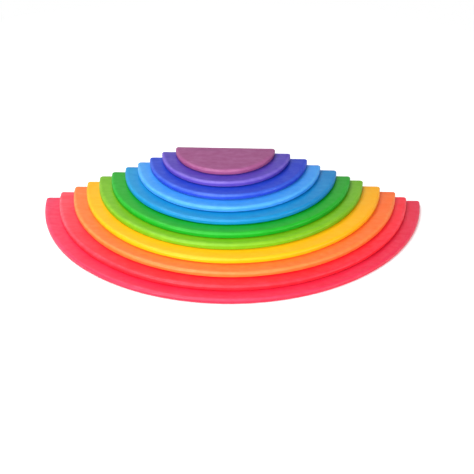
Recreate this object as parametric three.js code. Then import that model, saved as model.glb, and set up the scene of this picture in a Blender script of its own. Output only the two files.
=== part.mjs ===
// Rainbow semicircle set: eleven flat half-round boards of stained lime wood, stacked loose from the
// largest to the smallest, with every straight edge at the back and every arc towards the player.
// Millimetres, +Z up, +X along the straight edges. The origin is on the table, under the middle of the
// largest board.

import * as THREE from "three";

// Driving dimensions
const LARGEST_RADIUS = 170; // half the straight edge of the bottom board
const SMALLEST_RADIUS = 45; // half the straight edge of the top board
const BOARD_THICKNESS = 5;
const ROUND_WIDTH = 3; // how far the sanded round-over of every edge reaches in over the faces
const ROUND_HEIGHT = 2; // how far it reaches over the side
const CORNER_ROUND = 3.5; // plan radius where the arc meets the straight edge
const STACK_GAP = 0.3; // air between a board and the one it lies on
const NUDGE = 0.5; // one step by which a board is off in size or out of line
const TURN_STEP = 0.25; // one step of a board's turn out of line, in degrees

// How closely the facets follow the true curves
const ARC_SAGITTA = 0.06; // furthest that a facet falls inside its arc
const ROUND_FACETS = 4; // facets across each round-over

// The boards from the bottom up, each with its stain, by how many nudges its radius came out over the even
// step, and how a hand has laid it down: nudges to the right, nudges to the back and turn steps
// anticlockwise, all counted from the bottom board.
const BOARDS = [
  { name: "crimson_board", stain: "#f2324f", over: 0, right: 0, back: 0, turn: 0 },
  { name: "red_board", stain: "#f53a3a", over: -1, right: 1, back: -2, turn: -3 },
  { name: "orange_board", stain: "#fd8438", over: 1, right: 4, back: -1, turn: -4 },
  { name: "yellow_board", stain: "#fdc61c", over: 0, right: 2, back: -1, turn: -4 },
  { name: "lime_board", stain: "#7cc42a", over: -2, right: -2, back: 1, turn: -4 },
  { name: "green_board", stain: "#2ea83e", over: 0, right: -2, back: -3, turn: -5 },
  { name: "blue_board", stain: "#1b8ee0", over: 0, right: -2, back: -2, turn: -4 },
  { name: "sky_blue_board", stain: "#459af6", over: -1, right: -5, back: -3, turn: -4 },
  { name: "ultramarine_board", stain: "#3f50d0", over: 1, right: -6, back: -2, turn: -1 },
  { name: "violet_board", stain: "#644dbd", over: 0, right: -10, back: -1, turn: -3 },
  { name: "plum_board", stain: "#a4648a", over: -1, right: -11, back: -3, turn: -5 },
];

// The round-over never takes more than the plan corner or the thickness leaves for it.
const roundWidth = Math.min(ROUND_WIDTH, 0.9 * CORNER_ROUND);
const roundHeight = Math.min(ROUND_HEIGHT, 0.45 * BOARD_THICKNESS);

// Points along a circular arc, both ends included, as close together as the sagitta asks.
function arcPoints(centreX, centreY, radius, startAngle, endAngle) {
  const facetAngle = 2 * Math.acos(Math.max(0, 1 - ARC_SAGITTA / radius));
  const facets = Math.ceil((endAngle - startAngle) / facetAngle);
  const arc = new THREE.EllipseCurve(centreX, centreY, radius, radius, startAngle, endAngle);
  return arc.getPoints(facets);
}

// Half-round outline, anticlockwise: the arc below the X axis, then the right corner, the straight edge
// on the X axis and the left corner. Each corner is an arc tangent to both the circle and the edge.
function halfRoundOutline(radius) {
  const cornerX = Math.sqrt((radius - CORNER_ROUND) ** 2 - CORNER_ROUND ** 2);
  const meetAngle = Math.asin(CORNER_ROUND / (radius - CORNER_ROUND));
  const arc = arcPoints(0, 0, radius, Math.PI + meetAngle, 2 * Math.PI - meetAngle);
  const rightCorner = arcPoints(cornerX, -CORNER_ROUND, CORNER_ROUND, -meetAngle, Math.PI / 2);
  const leftCorner = arcPoints(-cornerX, -CORNER_ROUND, CORNER_ROUND, Math.PI / 2, Math.PI + meetAngle);
  return new THREE.Shape([...arc, ...rightCorner.slice(1), ...leftCorner.slice(0, -1)]);
}

// One board, lying on z = 0, with a quarter of an ellipse worked along its whole outline above and below.
function boardGeometry(radius) {
  const geometry = new THREE.ExtrudeGeometry(halfRoundOutline(radius), {
    depth: BOARD_THICKNESS - 2 * roundHeight,
    bevelThickness: roundHeight,
    bevelSize: roundWidth,
    bevelOffset: -roundWidth,
    bevelSegments: ROUND_FACETS,
  });
  geometry.translate(0, 0, roundHeight);
  return geometry;
}

// Waxed stain: the colour soaks into the wood, which keeps a low silky sheen.
function stainedWood(stain) {
  return new THREE.MeshStandardMaterial({ color: stain, roughness: 0.5, metalness: 0 });
}

const set = new THREE.Group();
set.name = "rainbow_semicircle_set";

BOARDS.forEach(({ name, stain, over, right, back, turn }, level) => {
  const evenRadius = THREE.MathUtils.lerp(LARGEST_RADIUS, SMALLEST_RADIUS, level / (BOARDS.length - 1));
  const board = new THREE.Mesh(boardGeometry(evenRadius + over * NUDGE), stainedWood(stain));
  board.name = name;
  board.position.set(
    right * NUDGE,
    LARGEST_RADIUS / 2 + back * NUDGE,
    level * (BOARD_THICKNESS + STACK_GAP),
  );
  board.rotation.z = THREE.MathUtils.degToRad(turn * TURN_STEP);
  set.add(board);
});

export default set;
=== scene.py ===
"""Rainbow semicircle set: eleven stained lime-wood boards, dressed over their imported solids.

Lengths are in metres, in the frame of the solids: +X to the right along the straight edges, +Y to the back,
+Z up, with the origin on the table under the middle of the largest board.
"""

import math

import bpy
import numpy as np
from mathutils import Matrix, Vector


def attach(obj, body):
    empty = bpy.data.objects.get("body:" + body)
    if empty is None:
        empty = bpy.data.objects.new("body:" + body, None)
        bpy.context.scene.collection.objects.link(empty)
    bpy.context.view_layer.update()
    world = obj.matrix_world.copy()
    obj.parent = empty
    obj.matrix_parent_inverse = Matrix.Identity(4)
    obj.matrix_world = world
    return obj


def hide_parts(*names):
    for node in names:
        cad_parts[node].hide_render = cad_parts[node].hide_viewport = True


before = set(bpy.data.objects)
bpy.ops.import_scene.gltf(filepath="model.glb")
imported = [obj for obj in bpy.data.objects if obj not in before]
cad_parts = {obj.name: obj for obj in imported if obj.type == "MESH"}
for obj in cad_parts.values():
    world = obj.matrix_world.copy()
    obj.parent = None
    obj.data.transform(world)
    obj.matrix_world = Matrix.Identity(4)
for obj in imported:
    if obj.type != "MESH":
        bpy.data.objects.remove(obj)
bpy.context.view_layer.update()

MM = 0.001

# Sizes of the boards, as in the solids, but for the plan corners, which the solids round to 3.5 mm
LARGEST_RADIUS = 170 * MM
SMALLEST_RADIUS = 45 * MM
BOARD_THICKNESS = 5 * MM
ROUND_WIDTH = 3 * MM
ROUND_HEIGHT = 2 * MM
CORNER_ROUND = 2.8 * MM
STACK_GAP = 0.3 * MM
NUDGE = 0.5 * MM
TURN_STEP = math.radians(0.25)

# The facets of the solids fall this far inside their true arcs, so the whole outline is drawn in by as much
ARC_SAGITTA = 0.06 * MM

# The boards from the bottom up. Each has its name, its record slot and its stain, by how many nudges its
# radius came out over the even step, how it was laid down (nudges to the right, nudges to the back, turn
# steps anticlockwise), the size of its lower round-over as a share of the upper one, the share by which its
# dye is thinner on the rim, which is partly sanding wear and partly a painted highlight, and the shares by
# which its colour is painted lighter at the left and right tips. Below zero, the colour is deeper there, a
# painted shade.
BOARDS = [
    ("crimson_board", "crimson_stained_lime", "#e42545", 0, (0, 0, 0), 0.75, 0.12, (0.25, 0.05)),
    ("red_board", "red_stained_lime", "#f82231", -1, (1, -2, -3), 0.75, 0.14, (0.39, 0.18)),
    ("orange_board", "orange_stained_lime", "#fb742f", 1, (4, -1, -4), 0.70, 0.18, (0.12, 0.00)),
    ("yellow_board", "yellow_stained_lime", "#fcb803", 0, (2, -1, -4), 0.62, 0.03, (0.00, -0.18)),
    ("lime_board", "lime_green_stained_lime", "#73b20e", -2, (-2, 1, -4), 0.35, 0.13, (0.00, -0.08)),
    ("green_board", "green_stained_lime", "#099d10", 0, (-2, -3, -5), 0.42, 0.17, (0.00, -0.10)),
    ("blue_board", "blue_stained_lime", "#0386c3", 0, (-2, -2, -4), 0.62, 0.06, (0.12, -0.13)),
    ("sky_blue_board", "sky_blue_stained_lime", "#3994e6", -1, (-5, -3, -4), 0.75, 0.21, (0.12, 0.00)),
    ("ultramarine_board", "ultramarine_stained_lime", "#1d40bf", 1, (-6, -2, -1), 0.75, 0.30, (0.00, -0.20)),
    ("violet_board", "violet_stained_lime", "#4e3aaa", 0, (-10, -1, -3), 0.75, 0.33, (0.00, -0.06)),
    ("plum_board", "plum_stained_lime", "#924679", -1, (-11, -3, -5), 0.75, 0.14, (0.00, 0.00)),
]

# Fineness of the board surfaces
OUTLINE_STEP = 1.5 * MM
CORNER_POINTS = 14
ROUND_POINTS = 9
SIDE_POINTS = 4
FACE_RINGS = 12

# The rings of a face close up at this share of the radius in front of the straight edge, about its centroid
FACE_CENTRE = 0.42

# How a hand with sandpaper leaves the round-over: it sways in size by a share, in waves round the outline,
# and it is smaller along the straight edge, from where it grows while the arc's normal turns by the fade
ROUND_SWAY = 0.14
SWAY_WAVES = np.arange(3, 12)
SWAY_HEIGHTS = (0.3, 1)
SWAY_GAIN = 2
BACK_SHARE = 0.62
BACK_FADE = 0.15

# How much the sandpaper reaches the side of a board and the arrises of its round-over, a paler colour
# that is partly sanding wear and partly a painted highlight, and how steeply the painted light and shade
# towards a tip sets in
SIDE_WEAR_AND_HIGHLIGHT = 0.35
ARRIS_WEAR_AND_HIGHLIGHT = 0.75
TIP_SHADING_POWER = 3


def linear(hex_colour):
    """sRGB hex colour as linear red, green, blue and alpha."""
    srgb = np.array([int(hex_colour[i:i + 2], 16) for i in (1, 3, 5)]) / 255
    rgb = np.where(srgb <= 0.04045, srgb / 12.92, ((srgb + 0.055) / 1.055) ** 2.4)
    return (*rgb.tolist(), 1.0)


def arc(centre, radius, start, end):
    """Points on an arc and their normals: centre plus radius times (cos a, sin a), without the end."""
    steps = max(CORNER_POINTS, math.ceil(radius * (end - start) / OUTLINE_STEP))
    angle = np.linspace(start, end, steps, endpoint=False)
    normal = np.stack([np.cos(angle), np.sin(angle)], axis=1)
    return centre + radius * normal, normal


def straight_edge(half):
    """Points along the X axis from half to minus half and their normals along +Y, without the end."""
    steps = math.ceil(2 * half / OUTLINE_STEP)
    along = np.linspace(half, -half, steps, endpoint=False)
    return np.stack([along, np.zeros(steps)], axis=1), np.tile((0.0, 1.0), (steps, 1))


def outline(radius):
    """Plan of a board: points and outward normals, anticlockwise from the left end of the arc.

    A large arc below the X axis, a small arc tangent to it and to the axis at the right end, the straight
    edge along the axis, and the small arc again at the left end.
    """
    corner_x = math.sqrt((radius - CORNER_ROUND) ** 2 - CORNER_ROUND ** 2)
    meet = math.asin(CORNER_ROUND / (radius - CORNER_ROUND))
    stretches = (
        arc((0, 0), radius, math.pi + meet, 2 * math.pi - meet),
        arc((corner_x, -CORNER_ROUND), CORNER_ROUND, -meet, math.pi / 2),
        straight_edge(corner_x),
        arc((-corner_x, -CORNER_ROUND), CORNER_ROUND, math.pi / 2, math.pi + meet),
    )
    points, normals = zip(*stretches)
    return np.concatenate(points), np.concatenate(normals)


def sway(count, rng):
    """Slow wander round a closed outline: a sum of whole waves with random phases, from about -1 to 1."""
    turn = np.linspace(0, 2 * math.pi, count, endpoint=False)
    phase = rng.uniform(0, 2 * math.pi, len(SWAY_WAVES))
    height = rng.uniform(*SWAY_HEIGHTS, len(SWAY_WAVES))
    waves = height[:, None] * np.sin(SWAY_WAVES[:, None] * turn + phase[:, None])
    return waves.sum(axis=0) / height.sum() * SWAY_GAIN


def round_over_share(normal, radius):
    """Size of the round-over at each point of the outline before it sways, as a share of its full size.

    It is smallest along the straight edge and the corners. From where a corner meets the arc it grows to 1
    by a smooth step, 3 t squared less 2 t cubed, in the part of the normal along Y.
    """
    corner_end = -CORNER_ROUND / (radius - CORNER_ROUND)
    near_back = np.clip(1 + (normal[:, 1] - corner_end) / BACK_FADE, 0, 1)
    return 1 - (1 - BACK_SHARE) * near_back ** 2 * (3 - 2 * near_back)


def board_surface(radius, foot, rng):
    """One board as rows of points that each go once round the outline, two poles, and four values per point.

    The rows run from the middle of the underside out to its edge, round the lower quarter ellipse, up the
    side, round the upper quarter ellipse and in to the middle of the top. On the rim a point is the outline
    moved in along its normal by (1 - cos a) times the local width of the round-over and raised by sin a
    times its height, where a goes through a right angle. On the two faces it is a share of the way from the
    centre to the rim, and the shares are square roots of even steps, so that the rings have like areas. The
    values are how far the sanding reached the point together with a painted highlight that peaks on the
    arrises (the side's share times cos a, plus the arris's times sin 2a), how squarely its surface cuts the
    wood fibres (the normal's part along X), and how near it is to the left and the right tip, where the
    colour carries painted light and shade (the cube of x over the radius, to that side).
    """
    plan, normal = outline(radius)
    plan = plan - ARC_SAGITTA * normal
    count = len(plan)
    full = round_over_share(normal, radius)
    lower = foot * full * (1 + ROUND_SWAY * sway(count, rng))
    upper = full * (1 + ROUND_SWAY * sway(count, rng))
    low_end = ROUND_HEIGHT * lower
    high_end = BOARD_THICKNESS - ROUND_HEIGHT * upper

    quarter = np.linspace(0, math.pi / 2, ROUND_POINTS)
    slope = np.concatenate([-quarter[::-1], np.zeros(SIDE_POINTS), quarter])[:, None]
    low_slope, high_slope = slope[:ROUND_POINTS], slope[-ROUND_POINTS:]
    climb = np.linspace(0, 1, SIDE_POINTS + 2)[1:-1, None]
    inset = np.concatenate([
        ROUND_WIDTH * lower * (1 - np.cos(low_slope)),
        np.zeros((SIDE_POINTS, count)),
        ROUND_WIDTH * upper * (1 - np.cos(high_slope)),
    ])
    height = np.concatenate([
        low_end + ROUND_HEIGHT * lower * np.sin(low_slope),
        low_end + climb * (high_end - low_end),
        high_end + ROUND_HEIGHT * upper * np.sin(high_slope),
    ])
    rim = plan - inset[:, :, None] * normal

    centre = np.array([0.0, -FACE_CENTRE * radius])
    share = np.sqrt(np.linspace(0, 1, FACE_RINGS + 1)[1:-1, None, None])
    under = centre + share * (rim[0] - centre)
    over = centre + share[::-1] * (rim[-1] - centre)
    flat = np.zeros((len(share), count))
    rows = np.concatenate([under, rim, over])
    level = np.concatenate([flat, height, flat + BOARD_THICKNESS])
    points = np.concatenate([rows, level[:, :, None]], axis=2)
    poles = np.array([[*centre, 0.0], [*centre, BOARD_THICKNESS]])

    # Sanding wear on the side and arrises, which also carries a painted highlight on the rim
    worn_and_highlight = SIDE_WEAR_AND_HIGHLIGHT * np.cos(slope) + ARRIS_WEAR_AND_HIGHLIGHT * np.abs(np.sin(2 * slope))
    across = points[:, :, 0] / radius
    values = {
        "sanding_and_highlight": np.concatenate([flat, np.tile(worn_and_highlight, count), flat]),
        "end_grain": np.concatenate([flat, np.cos(slope) * np.abs(normal[:, 0]), flat]),
        # Nearness to each tip, which carries painted light and shade
        "left_tip_painted_shading": np.clip(-across, 0, 1) ** TIP_SHADING_POWER,
        "right_tip_painted_shading": np.clip(across, 0, 1) ** TIP_SHADING_POWER,
    }
    return points, poles, values


def board_mesh(name, points, poles, values):
    """Closed mesh of a board: four-sided faces between its rows, and a fan at the middle of each face."""
    rows, count = points.shape[:2]
    index = np.arange(rows * count).reshape(rows, count)
    after = np.roll(index, -1, axis=1)
    quads = np.stack([index[:-1], after[:-1], after[1:], index[1:]], axis=2).reshape(-1, 4)
    low, high = rows * count, rows * count + 1
    low_fan = np.stack([np.full(count, low), after[0], index[0]], axis=1)
    high_fan = np.stack([np.full(count, high), index[-1], after[-1]], axis=1)
    mesh = bpy.data.meshes.new(name)
    vertices = np.concatenate([points.reshape(-1, 3), poles])
    mesh.from_pydata(vertices.tolist(), [], quads.tolist() + low_fan.tolist() + high_fan.tolist())
    mesh.polygons.foreach_set("use_smooth", np.ones(len(mesh.polygons), dtype=bool))
    for key, value in values.items():
        attribute = mesh.attributes.new(key, "FLOAT", "POINT")
        attribute.data.foreach_set("value", np.append(value.ravel(), (0, 0)).astype(np.float32))
    return mesh


def add(tree, kind, inputs=None, **settings):
    """Adds a node with its settings; inputs gives each socket a value or the output that feeds it."""
    made = tree.nodes.new(kind)
    for key, value in settings.items():
        setattr(made, key, value)
    for socket, value in (inputs or {}).items():
        if isinstance(value, bpy.types.NodeSocket):
            tree.links.new(value, made.inputs[socket])
        else:
            made.inputs[socket].default_value = value
    return made


# Lime is a plain, fine wood. Its rings are faint and a few millimetres apart, and its fibres run the length
# of the board. The fibres are drawn several times too coarse, or they would be lost in the render. Dye takes
# unevenly to it, in wide blotches and a small mottle that are a little drawn out along the fibres.
RING_SPACING = 7 * MM
FIBRE_WIDTH = 1.6 * MM
FIBRE_STRETCH = 0.13
BLOTCH_WIDTH = 16 * MM
MOTTLE_WIDTH = 4 * MM
BLOTCH_STRETCH = 0.6

# Rings in one unit of length of a wave texture at scale 1
RINGS_PER_UNIT = 20 / (2 * math.pi)

# How far the middle of the rings lies from a board, and how far along the plank the next board was cut
PITH = Vector((0, 35 * MM, 62 * MM))
GRAIN_SHIFT = Vector((0.21, 0.043, 0.017))

# Share by which each cause deepens the stain
RING_DEPTH = 0.025
FIBRE_DEPTH = 0.04
BLOTCH_DEPTH = 0.16
MOTTLE_DEPTH = 0.24
END_GRAIN_DEPTH = 0.10

# The wax lies thinly over the fibres, and is rubbed up more on some spots of the mottle than on others
FIBRE_RELIEF = 0.015 * MM
WAX_ROUGHNESS = 0.42
ROUGHNESS_SPREAD = 0.35
WAX_IOR = 1.40


def stained_lime(name, stain, rim, tip_light_and_shade, level, turn):
    """Lime wood, water-stained right through its surface, then waxed and rubbed to a low sheen.

    To the eye it is a strong, slightly cloudy colour with a hint of grain, paler rims and a wide, soft
    highlight. The stain is a clear dye, so more of it gives the same colour raised to a power, which is what
    the Gamma node does here: the rings, fibres, blotches, mottle and end grain take more dye; the rims take
    less, partly from sanding wear and partly as a painted highlight; and the tips take less or more from
    board to board, as painted light and painted shade.
    """
    material = bpy.data.materials.new(name)
    material.use_nodes = True
    tree = material.node_tree
    tree.nodes.clear()
    place = add(tree, "ShaderNodeTexCoord").outputs["Object"]
    shift = GRAIN_SHIFT * (level + 1) + PITH
    grain, cloud = [
        add(tree, "ShaderNodeMapping", {
            "Vector": place, "Location": shift, "Rotation": (0, 0, -turn), "Scale": (stretch, 1, 1),
        }).outputs[0]
        for stretch in (FIBRE_STRETCH, BLOTCH_STRETCH)
    ]
    ring = add(tree, "ShaderNodeTexWave", {
        "Vector": grain, "Scale": 1 / (RING_SPACING * RINGS_PER_UNIT), "Distortion": 12.0,
        "Detail": 3.0, "Detail Scale": 0.4, "Detail Roughness": 0.6,
    }, wave_type="RINGS", rings_direction="X")
    fibre = add(tree, "ShaderNodeTexNoise", {
        "Vector": grain, "Scale": 1 / FIBRE_WIDTH, "Detail": 3.0, "Roughness": 0.6,
    })
    blotch = add(tree, "ShaderNodeTexNoise", {
        "Vector": cloud, "Scale": 1 / BLOTCH_WIDTH, "Detail": 2.0, "Roughness": 0.5,
    })
    mottle = add(tree, "ShaderNodeTexNoise", {
        "Vector": cloud, "Scale": 1 / MOTTLE_WIDTH, "Detail": 2.0, "Roughness": 0.6,
    })
    end_grain = add(tree, "ShaderNodeAttribute", attribute_name="end_grain")
    sanding_and_highlight = add(tree, "ShaderNodeAttribute", attribute_name="sanding_and_highlight")
    left_tip_painted_shading = add(tree, "ShaderNodeAttribute", attribute_name="left_tip_painted_shading")
    right_tip_painted_shading = add(tree, "ShaderNodeAttribute", attribute_name="right_tip_painted_shading")
    dye = 1 - (RING_DEPTH + FIBRE_DEPTH + BLOTCH_DEPTH + MOTTLE_DEPTH) / 2
    for cause, depth in (
        (ring, RING_DEPTH),
        (fibre, FIBRE_DEPTH),
        (blotch, BLOTCH_DEPTH),
        (mottle, MOTTLE_DEPTH),
        (end_grain, END_GRAIN_DEPTH),
        # Thinner dye on the rim: partly sanding wear, partly a painted highlight
        (sanding_and_highlight, -rim),
        # Painted light at a tip above zero, painted shade below zero
        (left_tip_painted_shading, -tip_light_and_shade[0]),
        (right_tip_painted_shading, -tip_light_and_shade[1]),
    ):
        deeper = {0: cause.outputs["Fac"], 1: depth, 2: dye}
        dye = add(tree, "ShaderNodeMath", deeper, operation="MULTIPLY_ADD").outputs[0]
    colour = add(tree, "ShaderNodeGamma", {"Color": linear(stain), "Gamma": dye})
    rough = add(tree, "ShaderNodeMath", {
        0: mottle.outputs["Fac"], 1: ROUGHNESS_SPREAD, 2: WAX_ROUGHNESS - ROUGHNESS_SPREAD / 2,
    }, operation="MULTIPLY_ADD")
    relief = add(tree, "ShaderNodeBump", {"Height": fibre.outputs["Fac"], "Distance": FIBRE_RELIEF})
    wood = add(tree, "ShaderNodeBsdfPrincipled", {
        "Base Color": colour.outputs[0], "Roughness": rough.outputs[0], "Normal": relief.outputs[0],
        "IOR": WAX_IOR,
    })
    add(tree, "ShaderNodeOutputMaterial", {"Surface": wood.outputs[0]})
    return material


def lay_boards():
    """Makes each board, lays it where its solid lies, and lets it ride on that solid's body."""
    for level, (name, slot, stain, over, laid, foot, rim, tip_light_and_shade) in enumerate(BOARDS):
        share = level / (len(BOARDS) - 1)
        radius = LARGEST_RADIUS + share * (SMALLEST_RADIUS - LARGEST_RADIUS) + over * NUDGE
        right, back, turn_steps = laid
        turn = turn_steps * TURN_STEP
        surface = board_surface(radius, foot, np.random.default_rng(level))
        mesh = board_mesh(f"{name}_wood", *surface)
        place = (right * NUDGE, LARGEST_RADIUS / 2 + back * NUDGE, level * (BOARD_THICKNESS + STACK_GAP))
        mesh.transform(Matrix.Translation(place) @ Matrix.Rotation(turn, 4, "Z"))
        mesh.materials.append(stained_lime(f"{slot}_waxed", stain, rim, tip_light_and_shade, level, turn))
        board = bpy.data.objects.new(f"{name}_wood", mesh)
        bpy.context.scene.collection.objects.link(board)
        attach(board, name)
        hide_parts(name)


# The stage is a pale table, and white all round it. Near the boards, the table as it is seen has light from
# the lamps, taken as the lit level, and a glow that makes up the rest to white, darkened where the boards
# touch down by a painted contact shadow. Further off it fades to plain white.
FLOOR_HALF = 6.0
FLOOR_COLOUR = "#e6e6e4"
WHITE = linear("#ffffff")
LIT_LEVEL = 0.55
SHADOW_REACH = (0.3, 0.6)
PAINTED_SHADE_REACH = 4 * MM
WORLD_LEVEL = 0.04


def seen_directly(tree):
    """1 for a ray from the camera or off a glossy or clear surface, 0 for one that only carries light."""
    path = add(tree, "ShaderNodeLightPath")
    seen = path.outputs["Is Camera Ray"]
    for kind in ("Is Glossy Ray", "Is Transmission Ray"):
        seen = add(tree, "ShaderNodeMath", {0: seen, 1: path.outputs[kind]}, operation="MAXIMUM").outputs[0]
    return seen


def make_table():
    """A flat square of pale matt table top that looks white, so that only the object's shadow shows, with a
    painted contact shadow where the boards touch down.
    """
    corners = np.array([[-1, -1, 0], [1, -1, 0], [1, 1, 0], [-1, 1, 0]]) * FLOOR_HALF
    mesh = bpy.data.meshes.new("table_top")
    mesh.from_pydata(corners.tolist(), [], [(0, 1, 2, 3)])
    material = bpy.data.materials.new("matt_white_table")
    material.use_nodes = True
    tree = material.node_tree
    tree.nodes.clear()
    matt = add(tree, "ShaderNodeBsdfDiffuse", {"Color": linear(FLOOR_COLOUR)})
    lit = add(tree, "ShaderNodeBsdfDiffuse", {"Color": WHITE})
    # Painted contact shadow: the glow dims where the boards hem in the table
    painted_contact_shade = add(tree, "ShaderNodeAmbientOcclusion", {"Color": WHITE, "Distance": PAINTED_SHADE_REACH})
    glow = add(tree, "ShaderNodeEmission", {"Color": painted_contact_shade.outputs["Color"], "Strength": 1 - LIT_LEVEL})
    near = add(tree, "ShaderNodeAddShader", {0: lit.outputs[0], 1: glow.outputs[0]})
    place = add(tree, "ShaderNodeTexCoord").outputs["Object"]
    reach = add(tree, "ShaderNodeVectorMath", {0: place}, operation="LENGTH")
    away = add(tree, "ShaderNodeMapRange", {
        "Value": reach.outputs["Value"], "From Min": SHADOW_REACH[0], "From Max": SHADOW_REACH[1],
    })
    far = add(tree, "ShaderNodeEmission", {"Color": WHITE})
    white = add(tree, "ShaderNodeMixShader", {0: away.outputs[0], 1: near.outputs[0], 2: far.outputs[0]})
    seen = seen_directly(tree)
    shown = add(tree, "ShaderNodeMixShader", {0: seen, 1: matt.outputs[0], 2: white.outputs[0]})
    add(tree, "ShaderNodeOutputMaterial", {"Surface": shown.outputs[0]})
    mesh.materials.append(material)
    floor = bpy.data.objects.new("table_top", mesh)
    bpy.context.scene.collection.objects.link(floor)


def make_surround():
    """A surround that is white where it is seen, and gives only a little light of its own."""
    world = bpy.data.worlds.new("white_surround")
    world.use_nodes = True
    tree = world.node_tree
    tree.nodes.clear()
    level = add(tree, "ShaderNodeMapRange", {
        "Value": seen_directly(tree), "To Min": WORLD_LEVEL, "To Max": 1.0,
    })
    light = add(tree, "ShaderNodeBackground", {"Color": WHITE, "Strength": level.outputs[0]})
    add(tree, "ShaderNodeOutputWorld", {"Surface": light.outputs[0]})
    bpy.context.scene.world = world


# Soft boxes as azimuth, elevation, width, height and level: a white card held square to the lamp, at the
# middle of the object, shows at that level
LAMP_DISTANCE = 1.1
LAMPS = {
    "front_softbox": (8, 28, 0.8, 0.45, 0.42),
    "left_softbox": (-38, 15, 0.6, 0.45, 0.78),
    "rear_softbox": (-120, 62, 0.6, 0.6, 0.37),
    "top_softbox": (-30, 70, 0.6, 0.6, 0.36),
    "right_softbox": (64, 14, 0.6, 0.45, 0.36),
}


def compass(azimuth, elevation):
    """Unit vector from the object towards a place; azimuth 0 is in front of it and 90 is to its right."""
    a, e = math.radians(azimuth), math.radians(elevation)
    return Vector((math.sin(a) * math.cos(e), -math.cos(a) * math.cos(e), math.sin(e)))


def aim(obj, azimuth, elevation, distance, target, roll=0.0):
    """Places a lamp or camera at a distance from the target and turns it to look there."""
    back = compass(azimuth, elevation)
    turn = back.to_track_quat("Z", "Y").to_matrix().to_4x4()
    obj.matrix_world = Matrix.Translation(target + back * distance) @ turn @ Matrix.Rotation(roll, 4, "Z")
    bpy.context.scene.collection.objects.link(obj)


def make_lamps():
    """Rectangular soft boxes. A white card at distance d shows at level watts / (pi d) squared."""
    for name, (azimuth, elevation, width, height, level) in LAMPS.items():
        lamp = bpy.data.lights.new(name, "AREA")
        lamp.shape = "RECTANGLE"
        lamp.size, lamp.size_y = width, height
        lamp.energy = level * (math.pi * LAMP_DISTANCE) ** 2
        aim(bpy.data.objects.new(name, lamp), azimuth, elevation, LAMP_DISTANCE, Vector((0, 0, 0)))


# The photograph's view
VIEW_AZIMUTH = 2.265
VIEW_ELEVATION = 30.41
VIEW_ROLL = math.radians(-0.575)
VIEW_DISTANCE = 1.2907
VIEW_TARGET = Vector((6.28, 24.12, 0)) * MM
LENS = 111.68
SENSOR = 36.0


def make_camera():
    """A long lens, a little to the right of the middle, looking down at thirty degrees."""
    lens = bpy.data.cameras.new("camera")
    lens.sensor_width = SENSOR
    lens.lens = LENS
    camera = bpy.data.objects.new("camera", lens)
    aim(camera, VIEW_AZIMUTH, VIEW_ELEVATION, VIEW_DISTANCE, VIEW_TARGET, VIEW_ROLL)
    bpy.context.scene.camera = camera


bpy.context.scene.view_settings.view_transform = "Standard"
make_camera()
lay_boards()
make_table()
make_surround()
make_lamps()
